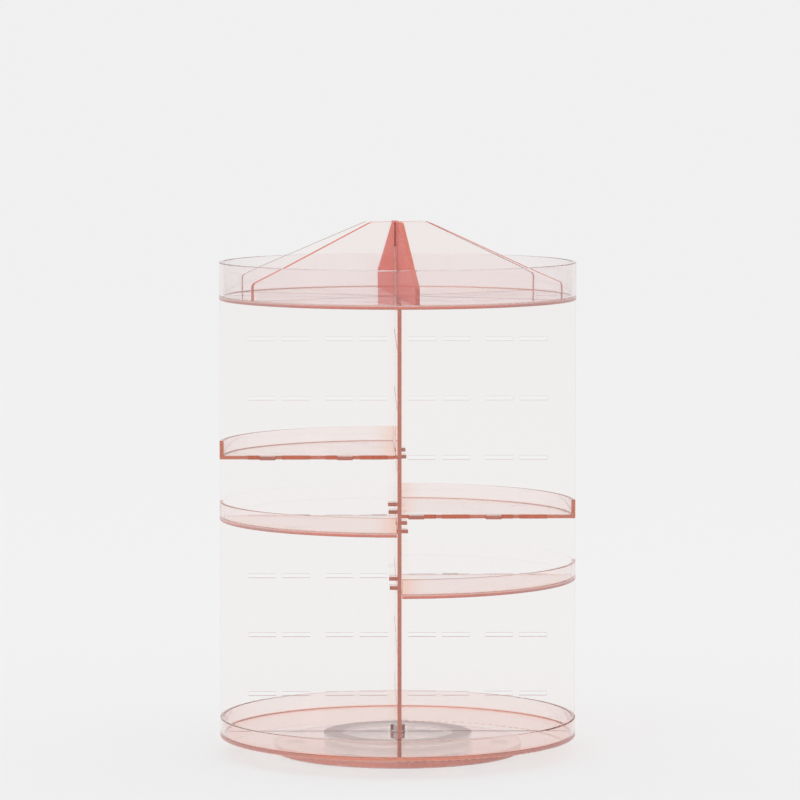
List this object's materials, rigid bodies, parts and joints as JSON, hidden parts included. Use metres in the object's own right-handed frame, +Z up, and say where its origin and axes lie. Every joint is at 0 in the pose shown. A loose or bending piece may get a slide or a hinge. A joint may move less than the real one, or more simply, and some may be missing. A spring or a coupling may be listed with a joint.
{
  "type": "rotating cosmetics carousel",
  "caption": "Round clear pink cosmetics carousel: trays at top and bottom of crossed upright panels, hooked quarter trays between them, a divided top, all turning on a ball-bearing base.",
  "frame": {"origin": "middle of the base on the surface it stands on", "axes": "+Z up along the turning axis; -Y is the front as pictured, +X its right"},
  "size_m": [0.23, 0.23, 0.3441],
  "materials": {
    "pink_acrylic": "clear pale pink acrylic, polished, deeper salmon at its cut edges",
    "clear_plastic": "clear moulded plastic",
    "white_plastic": "smooth white moulded plastic",
    "ball_steel": "polished bearing steel",
    "plated_steel": "zinc-plated steel",
    "foot_rubber": "soft translucent grey rubber"
  },
  "bodies": {
    "base": {"base_disc": "pink_acrylic", "base_feet": "foot_rubber", "lower_race": "clear_plastic", "pivot_bolt": "plated_steel", "pivot_washer": "white_plastic", "pivot_nut": "plated_steel"},
    "ball_ring": {"ball_cage": "white_plastic", "bearing_balls": "ball_steel"},
    "carousel": {"upper_race": "clear_plastic", "bottom_tray": "pink_acrylic", "wide_panel": "pink_acrylic", "cross_panel": "pink_acrylic", "top_tray": "pink_acrylic"},
    "shelf_rear_left": {"tray_rear_left": "pink_acrylic"},
    "shelf_rear_right": {"tray_rear_right": "pink_acrylic"},
    "shelf_front_left": {"tray_front_left": "pink_acrylic"},
    "shelf_front_right": {"tray_front_right": "pink_acrylic"},
    "divider_set": {"divider_low": "pink_acrylic", "divider_mid": "pink_acrylic", "divider_high": "pink_acrylic"}
  },
  "joints": [
    {"name": "carousel_spin", "type": "hinge", "parent": "base", "child": "carousel", "pos_m": [0, 0, 0.0084], "axis": [0, 0, 1], "continuous": true},
    {"name": "ball_ring_roll", "type": "hinge", "parent": "base", "child": "ball_ring", "pos_m": [0, 0, 0.0084], "axis": [0, 0, 1], "continuous": true},
    {"name": "pull_rear_left", "type": "slide", "parent": "carousel", "child": "shelf_rear_left", "axis": [-0.7071, 0.7071, 0], "range_m": [0, 0.03]},
    {"name": "pull_rear_right", "type": "slide", "parent": "carousel", "child": "shelf_rear_right", "axis": [0.7071, 0.7071, 0], "range_m": [0, 0.03]},
    {"name": "pull_front_left", "type": "slide", "parent": "carousel", "child": "shelf_front_left", "axis": [-0.7071, -0.7071, 0], "range_m": [0, 0.03]},
    {"name": "pull_front_right", "type": "slide", "parent": "carousel", "child": "shelf_front_right", "axis": [0.7071, -0.7071, 0], "range_m": [0, 0.03]},
    {"name": "divider_lift", "type": "slide", "parent": "carousel", "child": "divider_set", "axis": [0, 0, 1], "range_m": [0, 0.06]}
  ],
  "couplings": [
    {"joint": "ball_ring_roll", "follows": "carousel_spin", "ratio": 0.5}
  ]
}
